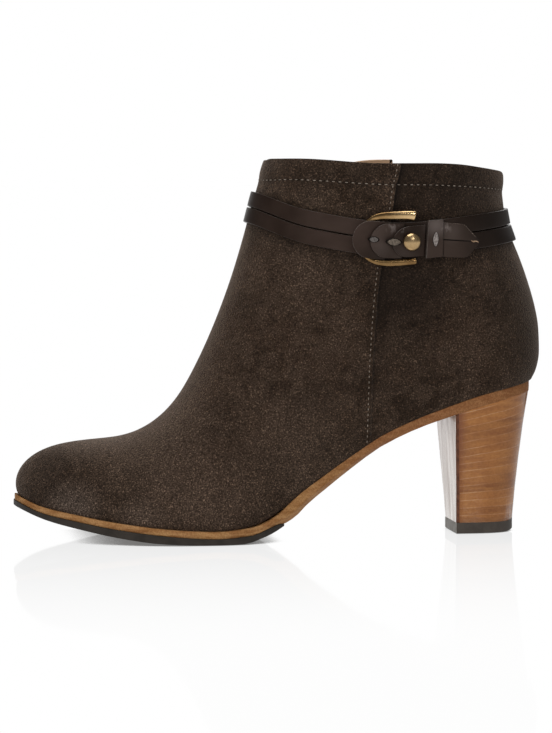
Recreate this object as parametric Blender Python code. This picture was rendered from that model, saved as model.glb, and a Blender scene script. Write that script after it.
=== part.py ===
"""Left suede ankle boot: a hollow upper on a leather sole, with a stacked heel and a buckled double strap.

Lengths are metres. The toe points to -X, the outer side of the foot to -Y, and the floor is z = 0.
"""
from bisect import bisect_right
from collections import namedtuple
from math import cos, exp, hypot, pi, sin, sqrt

import bmesh
import bpy
import numpy
from mathutils import Vector

MM = 0.001
PERCENT = 0.01

# Driving sizes
LENGTH = 245.0 * MM          # outsole tip to the back of the counter
BALL_WIDTH = 84.0 * MM       # sole at its widest
SEAT_HEIGHT = 69.5 * MM      # floor to the heel seat at the back
BOOT_HEIGHT = 174.0 * MM     # floor to the highest place of the collar
SHAFT_HALF = 36.0 * MM       # half the width of the shaft at the collar
SHAFT_START = 18.0           # percent of the length where the foot's width begins to turn into the shaft's
SHAFT_FULL = 42.0            # percent of the length where the collar has the shaft's width
SHAFT_FLARE = 1.7            # how soon the sides reach the shaft's width on their way up
WALL = 2.0 * MM              # suede with its lining
GAP = 0.3 * MM               # room between pieces that touch

# Relief of the upper's outside
COLLAR_BAND = 10.3 * MM      # stitched band under the collar edge
BAND_ROLL = 0.5 * MM         # how far the band puffs out
BAND_GROOVE = 0.4 * MM       # how deep its stitch line is pulled in
GROOVE_HALF = 1.4 * MM
CORNER_DIP = 0.8 * MM        # the collar's edge sinks by this toward the back
DIP_REACH = 21.0 * MM
CORNER_ROUND = 3.2 * MM      # radius of its back corner in the side view
FRONT_ROUND = 1.4 * MM       # radius of its front corner
FEATHER_TUCK = 0.9 * MM      # how far the upper tucks in over the sole
TUCK_REACH = 2.0 * MM

# Insole, sole, outsole and heel
INSOLE_INSET = 5.2 * MM      # the board's edge inside the sole's edge
INSOLE_THICKNESS = 1.6 * MM
RIM_WIDTH = 3.4 * MM         # the sole's raised rim, which carries the upper's wall
BED_INSET = 4.9 * MM         # the bed between the rims begins that far inside the sole's edge
SOLE_TOE = -122.0 * MM
SOLE_BACK = 117.6 * MM
TOE_ROUND = 18.0 * MM        # length over which the toe end rounds
SEAT_ROUND = 26.0 * MM       # length over which the heel seat rounds
OUTSOLE_REACH = 0.5 * MM     # rubber beyond the leather edge
OUTSOLE_END = -2.6 * MM
LIFT_THICKNESS = 4.7 * MM
LIFT_CURL = 1.2 * MM         # the lift curls up at its back edge by this
CURL_REACH = 6.0 * MM
HEEL_MIDDLE = -0.3 * MM      # the heel stands this far to the outer side

# Straps and buckle, in sizes along the strap (from the stud to the back), across it and off the upper
STRAP_WIDTH = 7.4 * MM
STRAP_SPLIT = 0.7 * MM
STRAP_THICKNESS = 1.6 * MM
STUD_ALONG = 72.3 * PERCENT  # stud's place along the boot
ON_STRAP = GAP + STRAP_THICKNESS + GAP
LINK_LENGTH = 15.3 * MM
LINK_ROUND = 7.5 * MM
LINK_THICKNESS = 1.1 * MM
LINK_LIFT = 3.2 * MM         # round end stands that far above the tail
STUD_RADIUS = 4.1 * MM
STUD_HEIGHT = 3.0 * MM
STUD_FORWARD = 0.45 * MM     # the stud sits a little to the front of its hole, and low
STUD_DROP = 0.65 * MM
STUD_SIDES = 16
Dome = namedtuple("Dome", "radius rise")  # shares of the stud's radius and height
STUD_DOME = [
    Dome(0.0, 0.0),
    Dome(0.97, 0.0),
    Dome(1.0, 0.2),
    Dome(0.86, 0.6),
    Dome(0.5, 0.9),
    Dome(0.0, 1.0),
]
KEEPER_START = 6.5 * MM
KEEPER_END = 14.0 * MM
KEEPER_HALF = 8.6 * MM
KEEPER_DROP = 0.35 * MM      # the loop sits that much below the strap's middle line
KEEPER_THICKNESS = 2.5 * MM
TIP_START = 14.3 * MM
TIP_END = 32.4 * MM
TIP_HALF = 7.8 * MM
TIP_POINT = 7.6 * MM
TIP_THICKNESS = 1.5 * MM
TIP_DROOP_START = 1.3 * MM   # the stiff tip lies level, below the rising straps
TIP_DROOP_END = 4.9 * MM

# Fineness of the meshes
UPPER_ROWS = 24
UPPER_HALF_TURN = 32
ROW_GROWTH = 1.35            # rows lie closer at the toe
BAND_ROWS = (0.15, 0.5, 0.85, 1.0)
STRAP_TURN = 2 * UPPER_HALF_TURN  # the straps bend where the upper does
STRAP_STEPS = 120
STRAP_LEVELS = (0.3, 1.0)    # the straps lie between these levels of the upper
HALVINGS = 24                # steps of the search for a level
LEVEL_STEP = 0.01            # steps that find the upper's slope
TURN_STEP = 0.03
ON_OUTLINE = 1e-9            # sine of a turn that lies on the front or back outline
PROFILE_STEPS = 600
INSOLE_COLUMNS = 30
OUTSOLE_COLUMNS = 34
WAIST_COLUMNS = 26           # of the leather sole, behind the outsole
HEEL_COLUMNS = 14
LINK_COLUMNS = 12
KEEPER_COLUMNS = 6
TIP_COLUMNS = 16
BAR_SIDES = 8
WELD = 0.001 * MM            # points nearer than this are one
SHARP_TURN = 0.6             # radians between faces that meet in an edge

# Stations along the foot: percent of the length from the toe, rise of the sole's bed in percent of the seat
# height, and the middle line and both half widths in percent of the ball width
Station = namedtuple("Station", "along rise middle lateral medial")
STATIONS = [
    Station(0.4, 26.3, 10.3, 22.0, 21.5),
    Station(4.4, 20.7, 9.3, 26.0, 25.0),
    Station(10.3, 16.7, 7.6, 34.7, 31.8),
    Station(16.4, 13.4, 5.7, 41.6, 38.0),
    Station(23.7, 10.8, 4.0, 47.2, 43.8),
    Station(29.7, 9.4, 2.9, 49.2, 46.7),
    Station(35.8, 8.4, 2.1, 49.4, 45.2),
    Station(42.3, 10.4, 1.4, 46.8, 39.5),
    Station(46.8, 16.5, 1.0, 43.9, 35.4),
    Station(51.6, 29.2, 0.7, 40.2, 31.5),
    Station(56.1, 39.1, 0.3, 37.5, 28.8),
    Station(60.9, 50.1, 0.1, 35.2, 27.1),
    Station(70.3, 70.4, -0.1, 31.5, 27.1),
    Station(79.6, 83.6, -0.4, 30.5, 29.4),
    Station(88.9, 92.8, -0.4, 30.5, 30.0),
    Station(99.0, 100.0, -0.4, 30.0, 30.0),
]

# Rim of the sole above its bed: percent of the length and millimetres
Rim = namedtuple("Rim", "along rise")
RIM = [
    Rim(0.0, 1.4),
    Rim(9.0, 1.3),
    Rim(16.4, 0.9),
    Rim(23.7, 0.35),
    Rim(29.7, 0.0),
    Rim(45.0, 0.0),
    Rim(49.3, 0.6),
    Rim(52.5, 1.3),
    Rim(57.0, 1.9),
    Rim(62.0, 2.1),
    Rim(67.0, 1.8),
    Rim(72.0, 1.1),
    Rim(79.0, 1.0),
    Rim(88.0, 1.8),
    Rim(100.0, 1.9),
]

# Side outline of the upper: percent of the length, percent of the boot's height, and the depth in
# millimetres over which the form rounds off from that edge. The last two rows are the stitch line and the
# edge of the collar.
Edge = namedtuple("Edge", "along up round")
FRONT = [
    Edge(0.4, 11.3, 17),
    Edge(0.2, 13.9, 17),
    Edge(0.5, 16.4, 18),
    Edge(2.3, 20.2, 19),
    Edge(4.4, 22.4, 20),
    Edge(8.5, 24.5, 22),
    Edge(13.0, 25.5, 25),
    Edge(19.8, 26.4, 30),
    Edge(24.1, 28.3, 34),
    Edge(28.1, 32.3, 38),
    Edge(30.8, 36.6, 42),
    Edge(34.2, 45.1, 46),
    Edge(37.0, 53.6, 50),
    Edge(39.4, 62.1, 53),
    Edge(41.5, 70.6, 55),
    Edge(42.5, 75.3, 55),
    Edge(43.75, 81.5, 55),
    Edge(44.95, 88.0, 55),
    Edge(46.1, 94.0, 56),
    Edge(47.25, 99.9, 56),
]
BACK = [
    Edge(98.9, 41.0, 26),
    Edge(99.5, 43.6, 27),
    Edge(100.0, 47.9, 29),
    Edge(99.8, 54.9, 33),
    Edge(99.1, 60.3, 38),
    Edge(97.5, 67.9, 44),
    Edge(95.9, 74.0, 48),
    Edge(94.1, 80.0, 51),
    Edge(93.1, 85.0, 53),
    Edge(92.75, 90.9, 55),
    Edge(92.7, 96.8, 56),
]

# Lines along the boot: percent of the length and of the boot's height
Line = namedtuple("Line", "along up")
COLLAR = [
    Line(47.25, 99.9),
    Line(52.0, 100.0),
    Line(67.0, 98.8),
    Line(76.5, 98.8),
    Line(86.0, 98.0),
    Line(92.6, 96.8),
]
STRAP = [
    Line(43.7, 87.5),
    Line(54.0, 81.9),
    Line(70.3, 78.9),
    Line(85.3, 80.7),
    Line(94.4, 82.2),
]

# Leather sole: percent of the length, then its thickness, its edge beyond the upper and the bevel of its
# underside in millimetres
Sole = namedtuple("Sole", "along thickness welt bevel")
SOLE = [
    Sole(0.0, 2.5, 1.3, 0.4),
    Sole(34.0, 2.9, 1.3, 0.4),
    Sole(42.0, 3.2, 1.0, 0.6),
    Sole(45.6, 3.4, 0.7, 1.6),
    Sole(47.5, 4.4, 0.6, 2.8),
    Sole(49.3, 7.7, 0.4, 4.4),
    Sole(51.5, 9.3, 0.3, 5.0),
    Sole(53.8, 7.9, 0.1, 5.0),
    Sole(58.3, 6.8, 0.0, 4.4),
    Sole(62.7, 5.8, -0.1, 3.8),
    Sole(67.3, 5.0, -0.2, 3.2),
    Sole(75.0, 4.4, -0.4, 1.4),
    Sole(85.0, 4.7, -0.4, 0.4),
    Sole(100.0, 4.9, -0.4, 0.4),
]
SOLE_EDGE = 55 * PERCENT     # upright share of the sole's edge, above the bevel
BEVEL_LIMIT = 20 * PERCENT   # of the sole's width, where the ends are narrow
BEVEL_START = 42.0           # percent of the length from where the outsole follows the bevel

# Underside of the outsole: percent of the length and height above the floor in millimetres
Tread = namedtuple("Tread", "along rise")
TREAD = [
    Tread(0.0, 14.7),
    Tread(5.0, 10.0),
    Tread(11.5, 6.2),
    Tread(18.4, 2.9),
    Tread(26.0, 0.6),
    Tread(33.5, 0.0),
    Tread(40.0, 0.0),
    Tread(42.0, 0.5),
    Tread(44.0, 2.0),
    Tread(46.0, 3.7),
    Tread(49.0, 7.2),
]

# Heel sections from the seat to the lift: percent of the heel's height, of the length and of the ball width
Heel = namedtuple("Heel", "level breast back half")
HEEL = [
    Heel(100, 82.05, 97.9, 29.0),
    Heel(75, 82.3, 96.9, 25.7),
    Heel(50, 82.6, 96.15, 22.4),
    Heel(25, 82.9, 95.5, 19.1),
    Heel(0, 83.15, 95.0, 15.8),
]
HEEL_ROUND = 0.62            # share of the heel's length that rounds off to the back

# Links of the strap, in millimetres: where the round end is, half the height and the rise of the middle
Link = namedtuple("Link", "start half rise")
LINKS = [
    Link(-26.8, 8.6, -0.65),
    Link(-19.2, 7.9, -0.45),
    Link(-9.3, 7.0, -0.7),
]

# Buckle bar in millimetres along and across the strap, with its breadth and height, from each arm's blunt
# end to the bend that lies under the first link
Bar = namedtuple("Bar", "along across breadth height")
UPPER_ARM = [
    Bar(0.3, 10.75, 4.5, 2.8),
    Bar(-2.6, 11.2, 4.2, 2.6),
    Bar(-9.1, 11.1, 3.8, 2.3),
    Bar(-15.6, 10.5, 3.4, 1.6),
    Bar(-19.2, 8.9, 2.6, 0.8),
    Bar(-22.2, 5.6, 2.0, 0.7),
]
LOWER_ARM = [
    Bar(2.5, -9.75, 3.1, 2.6),
    Bar(-2.6, -10.1, 3.2, 2.5),
    Bar(-9.1, -10.6, 3.0, 2.2),
    Bar(-14.0, -10.8, 2.5, 1.6),
    Bar(-18.2, -9.9, 2.3, 0.8),
    Bar(-21.4, -7.2, 2.0, 0.7),
]
BAR_BEND = Bar(-23.8, -1.2, 2.0, 0.7)


class Smooth:
    """A smooth curve through a column of numbers that never overshoots them."""

    def __init__(self, keys, values):
        steps = [(values[i + 1] - values[i]) / (keys[i + 1] - keys[i]) for i in range(len(keys) - 1)]
        inner = [0.0 if a * b <= 0.0 else 2.0 * a * b / (a + b) for a, b in zip(steps, steps[1:])]
        self.keys = keys
        self.values = values
        self.slopes = [steps[0]] + inner + [steps[-1]]

    def at(self, key):
        i = min(max(bisect_right(self.keys, key) - 1, 0), len(self.keys) - 2)
        width = self.keys[i + 1] - self.keys[i]
        s = min(max((key - self.keys[i]) / width, 0.0), 1.0)
        rise = self.values[i + 1] - self.values[i]
        start = self.slopes[i] * width - rise
        end = rise - self.slopes[i + 1] * width
        return self.values[i] + s * rise + s * (1.0 - s) * ((1.0 - s) * start + s * end)


def column(rows, name):
    """A table's column as a smooth curve along the boot."""
    return Smooth([row.along for row in rows], [getattr(row, name) for row in rows])


def place_of(along):
    return (along * PERCENT - 0.5) * LENGTH


def along_of(x):
    return (x / LENGTH + 0.5) / PERCENT


RISE = column(STATIONS, "rise")
MIDDLE = column(STATIONS, "middle")
LATERAL = column(STATIONS, "lateral")
MEDIAL = column(STATIONS, "medial")
RIM_RISE = column(RIM, "rise")
COLLAR_LINE = column(COLLAR, "up")
STRAP_LINE = column(STRAP, "up")
SOLE_THICKNESS = column(SOLE, "thickness")
SOLE_WELT = column(SOLE, "welt")
SOLE_BEVEL = column(SOLE, "bevel")
TREAD_LINE = column(TREAD, "rise")


def bed(x):
    """Height of the sole's bed, on which the insole lies."""
    return RISE.at(along_of(x)) * PERCENT * SEAT_HEIGHT


def feather(x):
    """Height of the line where the upper meets the sole's rim."""
    return bed(x) + RIM_RISE.at(along_of(x)) * MM


def middle(x):
    return MIDDLE.at(along_of(x)) * PERCENT * BALL_WIDTH


def foot_half(x, lateral):
    side = LATERAL if lateral else MEDIAL
    return side.at(along_of(x)) * PERCENT * BALL_WIDTH


def collar(x):
    return COLLAR_LINE.at(along_of(x)) * PERCENT * BOOT_HEIGHT


def strap_height(x):
    return STRAP_LINE.at(along_of(x)) * PERCENT * BOOT_HEIGHT


def rounding(depth):
    """Share of the full width at a depth, from 0 at the edge to 1, inside a round end."""
    inside = min(max(depth, 0.0), 1.0)
    return sqrt(1.0 - (1.0 - inside) ** 2)


class Profile:
    """Front or back outline of the upper, from the feather line to the collar."""

    def __init__(self, rows):
        places = [(place_of(row.along), row.up * PERCENT * BOOT_HEIGHT) for row in rows]
        run = [0.0]
        for (x0, z0), (x1, z1) in zip(places, places[1:]):
            run.append(run[-1] + hypot(x1 - x0, z1 - z0))
        self.to_stitch = run[-2]
        self.x = Smooth(run, [x for x, z in places])
        self.z = Smooth(run, [z for x, z in places])
        depth = Smooth(run, [row.round * MM for row in rows])
        marks = [run[-1] * i / PROFILE_STEPS for i in range(PROFILE_STEPS + 1)]
        points = numpy.array([(self.x.at(mark), self.z.at(mark)) for mark in marks])
        self.starts = points[:-1]
        self.spans = points[1:] - points[:-1]
        self.depths = numpy.array([depth.at(mark) for mark in marks[:-1]])

    def at(self, share):
        """Point at a share of the way from the feather line to the stitch line."""
        return self.x.at(share * self.to_stitch), self.z.at(share * self.to_stitch)

    def end(self):
        return self.x.values[-1], self.z.values[-1]

    def fullness(self, x, z):
        """Share of the full width that the form has reached at this distance from the outline."""
        offset = numpy.array((x, z)) - self.starts
        share = (offset * self.spans).sum(axis=1) / (self.spans ** 2).sum(axis=1)
        nearest = offset - self.spans * numpy.clip(share, 0.0, 1.0)[:, None]
        distance = numpy.hypot(nearest[:, 0], nearest[:, 1])
        i = int(distance.argmin())
        return rounding(distance[i] / self.depths[i])


FRONT_EDGE = Profile(FRONT)
BACK_EDGE = Profile(BACK)


def mix(a, b, share):
    return a + (b - a) * share


def corner_drop(x):
    """How far the collar's edge lies below its line on the way to its rounded corners."""
    front = x - FRONT_EDGE.end()[0]
    room = BACK_EDGE.end()[0] - x
    drop = CORNER_DIP * rounding(1.0 - room / DIP_REACH)
    drop += FRONT_ROUND * (1.0 - rounding(front / FRONT_ROUND))
    return drop + CORNER_ROUND * (1.0 - rounding(room / CORNER_ROUND))


def side_point(level, share):
    """Place in the side view: level 0 is the feather line, 1 the stitch line and 2 the collar edge;
    share runs from the front outline to the back one."""
    up = min(level, 1.0)
    foot_x = mix(FRONT_EDGE.at(0.0)[0], BACK_EDGE.at(0.0)[0], share)
    foot_z = mix(FRONT_EDGE.at(0.0)[1], BACK_EDGE.at(0.0)[1], share)
    top_x = mix(FRONT_EDGE.at(1.0)[0], BACK_EDGE.at(1.0)[0], share)
    top_z = mix(FRONT_EDGE.at(1.0)[1], BACK_EDGE.at(1.0)[1], share)
    edge_x = mix(FRONT_EDGE.at(up)[0], BACK_EDGE.at(up)[0], share)
    edge_z = mix(FRONT_EDGE.at(up)[1], BACK_EDGE.at(up)[1], share)
    stitch_z = collar(top_x) - COLLAR_BAND
    x = edge_x
    z = edge_z + (1.0 - up) * (feather(foot_x) - foot_z) + up * (stitch_z - top_z)
    if level <= 1.0:
        return x, z
    rim_x = mix(FRONT_EDGE.end()[0], BACK_EDGE.end()[0], share)
    rim_z = collar(rim_x) - corner_drop(rim_x)
    return mix(x, rim_x, level - 1.0), mix(z, rim_z, level - 1.0)


def half_width(x, z, lateral):
    """Half width of the upper on one side of its middle line."""
    foot = foot_half(x, lateral)
    low = bed(x)
    climb = min(max((z - low) / (collar(x) - low), 0.0), 1.0)
    shaft_share = min(max((along_of(x) - SHAFT_START) / (SHAFT_FULL - SHAFT_START), 0.0), 1.0)
    shaft_share *= 1.0 - (1.0 - climb) ** SHAFT_FLARE
    full = mix(foot, SHAFT_HALF, shaft_share)
    return full * FRONT_EDGE.fullness(x, z) * BACK_EDGE.fullness(x, z)


def plain_upper(level, turn):
    """Outside of the upper without its relief. The turn goes from the front along the outer side."""
    x, z = side_point(level, (1.0 - cos(turn)) / 2.0)
    lateral = sin(turn) >= 0.0
    half = half_width(x, z, lateral) if abs(sin(turn)) > ON_OUTLINE else 0.0
    return Vector((x, middle(x) + (-half if lateral else half), z))


def upper_normal(level, turn):
    low = max(level - LEVEL_STEP, 0.0)
    high = min(level + LEVEL_STEP, 2.0)
    upward = plain_upper(high, turn) - plain_upper(low, turn)
    onward = plain_upper(level, turn + TURN_STEP) - plain_upper(level, turn - TURN_STEP)
    return onward.cross(upward).normalized()


def relief(x, z):
    """Height of the collar's roll and stitch groove, and of the tuck over the sole."""
    below = collar(x) - z
    height = -BAND_GROOVE * exp(-((below - COLLAR_BAND) / GROOVE_HALF) ** 2)
    if 0.0 < below < COLLAR_BAND:
        height += BAND_ROLL * sin(pi * below / COLLAR_BAND)
    height -= FEATHER_TUCK * exp(-(z - feather(x)) / TUCK_REACH)
    return height


def on_upper(level, turn, off=0.0):
    """Point on the upper's outside, or off it by a distance."""
    point = plain_upper(level, turn)
    return point + upper_normal(level, turn) * (relief(point.x, point.z) + off)


def level_at(turn, rise):
    """Level where the upper passes a height above or below the strap's middle line."""
    share = (1.0 - cos(turn)) / 2.0
    low = STRAP_LEVELS[0]
    high = STRAP_LEVELS[1]
    for _ in range(HALVINGS):
        level = (low + high) / 2.0
        x, z = side_point(level, share)
        if z < strap_height(x) + rise:
            low = level
        else:
            high = level
    return low


def strap_run():
    """Distance along the outer side of the strap, measured from the stud, for turns from front to back."""
    turns = [pi * i / STRAP_STEPS for i in range(STRAP_STEPS + 1)]
    points = [plain_upper(level_at(turn, 0.0), turn) for turn in turns]
    run = [0.0]
    for a, b in zip(points, points[1:]):
        run.append(run[-1] + (b - a).length)
    stud_x = place_of(STUD_ALONG / PERCENT)
    stud = Smooth([point.x for point in points], run).at(stud_x)
    return Smooth([distance - stud for distance in run], turns)


STRAP_TURNS = strap_run()


def on_strap(along, across, off):
    """Point beside the strap's middle line on the outer side: along it, across it and off the upper."""
    turn = STRAP_TURNS.at(along)
    return on_upper(level_at(turn, across), turn, off)


def spread(start, end, count, ends=True):
    """Places from start to end, closer together at both ends, or only at the far end."""
    if ends:
        return [mix(start, end, (1.0 - cos(pi * i / count)) / 2.0) for i in range(count + 1)]
    return [mix(start, end, sin(pi / 2.0 * i / count)) for i in range(count + 1)]


def finish(name, mesh_builder, material):
    """Turn a mesh under construction into a named object with its material."""
    bmesh.ops.remove_doubles(mesh_builder, verts=mesh_builder.verts, dist=WELD)
    bmesh.ops.recalc_face_normals(mesh_builder, faces=mesh_builder.faces)
    mesh = bpy.data.meshes.new(name)
    mesh_builder.to_mesh(mesh)
    mesh_builder.free()
    mesh.materials.append(material)
    mesh.shade_smooth()
    mesh.set_sharp_from_angle(angle=SHARP_TURN)
    piece = bpy.data.objects.new(name, mesh)
    bpy.context.scene.collection.objects.link(piece)
    return piece


def skin_rings(builder, rings, closed):
    """Join rows of points with four-sided faces, around each ring where it is closed."""
    rows = [[builder.verts.new(point) for point in ring] for ring in rings]
    count = len(rows[0])
    for low, high in zip(rows, rows[1:]):
        for i in range(count if closed else count - 1):
            j = (i + 1) % count
            builder.faces.new((low[i], low[j], high[j], high[i]))
    return rows


def layered(name, layers, material):
    """Solid from layers of point pairs: each pair holds both edges at one station."""
    builder = bmesh.new()
    rings = []
    for layer in layers:
        rings.append([left for left, right in layer] + [right for left, right in reversed(layer)])
    rows = skin_rings(builder, rings, closed=True)
    count = len(layers[0])
    for row in (rows[0], rows[-1]):
        for i in range(count - 1):
            builder.faces.new((row[i], row[i + 1], row[-2 - i], row[-1 - i]))
    return finish(name, builder, material)


def plain_finish(name, colour, roughness, metallic=0.0):
    """A plain finish for one sub-part."""
    material = bpy.data.materials.new(name)
    material.use_nodes = True
    shader = material.node_tree.nodes["Principled BSDF"]
    shader.inputs["Base Color"].default_value = (*colour, 1.0)
    shader.inputs["Roughness"].default_value = roughness
    shader.inputs["Metallic"].default_value = metallic
    return material


def make_upper(material):
    """Hollow suede upper: rings from the feather line to the collar, with a wall of its own."""
    levels = [(i / UPPER_ROWS) ** ROW_GROWTH for i in range(UPPER_ROWS + 1)]
    levels += [1.0 + share for share in BAND_ROWS]
    turns = [pi * i / UPPER_HALF_TURN for i in range(2 * UPPER_HALF_TURN)]
    builder = bmesh.new()
    skin_rings(builder, [[on_upper(level, turn) for turn in turns] for level in levels], closed=True)
    upper = finish("upper", builder, material)
    wall = upper.modifiers.new("wall", "SOLIDIFY")
    wall.thickness = WALL
    wall.offset = -1.0
    return upper


def sole_edges(x, toe, back, beyond):
    """Both edges of the sole at a place, with rounded toe and heel ends."""
    ends = rounding((x - toe) / TOE_ROUND) * rounding((back - x) / SEAT_ROUND)
    beyond += SOLE_WELT.at(along_of(x)) * MM
    return (
        middle(x) - (foot_half(x, True) + beyond) * ends,
        middle(x) + (foot_half(x, False) + beyond) * ends,
    )


def sole_top(x):
    return feather(x) - GAP


def sole_bottom(x):
    return sole_top(x) - SOLE_THICKNESS.at(along_of(x)) * MM


def make_insole(material):
    """Thin board that closes the upper from inside."""
    toe = SOLE_TOE + INSOLE_INSET
    back = SOLE_BACK - INSOLE_INSET
    layers = []
    for rise in (GAP + INSOLE_THICKNESS, GAP):
        layer = []
        for x in spread(toe, back, INSOLE_COLUMNS):
            lateral, medial = sole_edges(x, toe, back, -INSOLE_INSET)
            z = bed(x) + rise
            layer.append((Vector((x, lateral, z)), Vector((x, medial, z))))
        layers.append(layer)
    return layered("insole", layers, material)


def sole_places(toe, back):
    """Places along the leather sole, closer together at its ends and where the outsole stops."""
    return spread(toe, OUTSOLE_END, OUTSOLE_COLUMNS) + spread(OUTSOLE_END, back, WAIST_COLUMNS)[1:]


def make_leather_sole(material):
    """Tan sole from toe to heel seat: a bed between raised rims, bevelled under the waist."""
    layers = []
    for inset, height_at in ((BED_INSET, bed), (RIM_WIDTH, feather)):
        toe = SOLE_TOE + inset
        back = SOLE_BACK - inset
        layer = []
        for x in sole_places(toe, back):
            lateral, medial = sole_edges(x, toe, back, -inset)
            z = height_at(x) - GAP
            layer.append((Vector((x, lateral, z)), Vector((x, medial, z))))
        layers.append(layer)
    for depth, bevelled in ((0.0, 0.0), (SOLE_EDGE, 0.0), (1.0, 1.0)):
        layer = []
        for x in sole_places(SOLE_TOE, SOLE_BACK):
            lateral, medial = sole_edges(x, SOLE_TOE, SOLE_BACK, 0.0)
            bevel = min(bevelled * SOLE_BEVEL.at(along_of(x)) * MM, (medial - lateral) * BEVEL_LIMIT)
            z = mix(sole_top(x), sole_bottom(x), depth)
            layer.append((Vector((x, lateral + bevel, z)), Vector((x, medial - bevel, z))))
        layers.append(layer)
    return layered("leather_sole", layers, material)


def make_forefoot_outsole(material):
    """Rubber half sole: flat under the ball, with toe spring and a cut end at the waist."""
    toe = -LENGTH / 2.0
    layers = []
    for on_floor in (False, True):
        layer = []
        for x in spread(toe, OUTSOLE_END, OUTSOLE_COLUMNS):
            lateral, medial = sole_edges(x, toe, SOLE_BACK, OUTSOLE_REACH)
            inset = SOLE_BEVEL.at(along_of(x)) * MM if x > place_of(BEVEL_START) else 0.0
            z = TREAD_LINE.at(along_of(x)) * MM if on_floor else sole_bottom(x) - GAP
            layer.append((Vector((x, lateral + inset, z)), Vector((x, medial - inset, z))))
        layers.append(layer)
    return layered("forefoot_outsole", layers, material)


def heel_section(row, height_at):
    """Edges of one heel section, from the breast round to the back."""
    breast = place_of(row.breast)
    back = place_of(row.back)
    half = row.half * PERCENT * BALL_WIDTH
    layer = []
    for x in spread(breast, back, HEEL_COLUMNS, ends=False):
        width = half * rounding((back - x) / ((back - breast) * HEEL_ROUND))
        z = height_at(x)
        layer.append((Vector((x, HEEL_MIDDLE - width, z)), Vector((x, HEEL_MIDDLE + width, z))))
    return layer


def lift_curl(x):
    """How far the lift has left the floor at a place near its back edge."""
    room = place_of(HEEL[-1].back) - x
    return LIFT_CURL * min(max(1.0 - room / CURL_REACH, 0.0), 1.0) ** 2


def lift_top(x):
    return LIFT_THICKNESS + lift_curl(x)


def make_heel_block(material):
    """Stacked leather heel: upright breast, round back, narrowing to the lift."""
    layers = []
    for row in HEEL:
        share = row.level * PERCENT
        layers.append(heel_section(row, lambda x: mix(lift_top(x) + GAP, sole_bottom(x) - GAP, share)))
    return layered("heel_block", layers, material)


def make_heel_top_lift(material):
    """Rubber lift that the heel stands on."""
    layers = [heel_section(HEEL[-1], lift_top), heel_section(HEEL[-1], lift_curl)]
    return layered("heel_top_lift", layers, material)


def make_ankle_strap(name, low, material):
    """One narrow strap round the ankle, its lower edge at a height across the strap line."""
    builder = bmesh.new()
    rings = []
    for i in range(STRAP_TURN + 1):
        turn = 2.0 * pi * i / STRAP_TURN
        bottom = level_at(turn, low)
        top = level_at(turn, low + STRAP_WIDTH)
        corners = ((bottom, GAP), (bottom, GAP + STRAP_THICKNESS), (top, GAP + STRAP_THICKNESS), (top, GAP))
        rings.append([on_upper(level, turn, off) for level, off in corners])
    skin_rings(builder, rings, closed=True)
    return finish(name, builder, material)


def tongue(name, start, end, middle_at, half_at, base_at, thickness, columns, material):
    """Leather plate on the strap: its middle, its half height and its base vary along it."""
    layers = []
    for rise in (thickness, 0.0):
        layer = []
        for along in spread(start, end, columns):
            centre = middle_at(along)
            half = half_at(along)
            off = base_at(along) + rise
            layer.append((on_strap(along, centre - half, off), on_strap(along, centre + half, off)))
        layers.append(layer)
    return layered(name, layers, material)


def link_base(start, along):
    """A link lies on the next one's tail: its round end is lifted, its own tail lies on the strap."""
    return ON_STRAP + LINK_LIFT * (1.0 - (along - start) / LINK_LENGTH)


def make_links(material):
    """Three round-ended links that overlap like scales."""
    for number, link in enumerate(LINKS, 1):
        start = link.start * MM
        tongue(
            f"link_{number}",
            start,
            start + LINK_LENGTH,
            lambda along: link.rise * MM,
            lambda along: link.half * MM * rounding((along - start) / LINK_ROUND),
            lambda along: link_base(start, along),
            LINK_THICKNESS,
            LINK_COLUMNS,
            material,
        )


def make_stud(material):
    """Brass dome on the last link."""
    off = link_base(LINKS[-1].start * MM, -STUD_FORWARD - STUD_RADIUS) + LINK_THICKNESS + GAP
    foot = on_strap(-STUD_FORWARD, -STUD_DROP, off)
    axis = (on_strap(-STUD_FORWARD, -STUD_DROP, off + MM) - foot).normalized()
    side = Vector((0.0, 0.0, 1.0)).cross(axis).normalized()
    upward = axis.cross(side)
    builder = bmesh.new()
    rings = []
    for row in STUD_DOME:
        ring = []
        for i in range(STUD_SIDES):
            angle = 2.0 * pi * i / STUD_SIDES
            reach = (side * cos(angle) + upward * sin(angle)) * row.radius * STUD_RADIUS
            ring.append(foot + reach + axis * row.rise * STUD_HEIGHT)
        rings.append(ring)
    skin_rings(builder, rings, closed=True)
    return finish("stud", builder, material)


def make_keeper_loop(material):
    """Leather loop that holds the strap's end down."""
    return tongue(
        "keeper_loop",
        KEEPER_START,
        KEEPER_END,
        lambda along: -KEEPER_DROP,
        lambda along: KEEPER_HALF,
        lambda along: ON_STRAP,
        KEEPER_THICKNESS,
        KEEPER_COLUMNS,
        material,
    )


def make_strap_tip(material):
    """Pointed end of the strap behind the loop."""

    def middle_at(along):
        share = (along - TIP_START) / (TIP_END - TIP_START)
        return -mix(TIP_DROOP_START, TIP_DROOP_END, share)

    def half_at(along):
        return TIP_HALF * min((TIP_END - along) / TIP_POINT, 1.0)

    return tongue(
        "strap_tip",
        TIP_START,
        TIP_END,
        middle_at,
        half_at,
        lambda along: ON_STRAP,
        TIP_THICKNESS,
        TIP_COLUMNS,
        material,
    )


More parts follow.
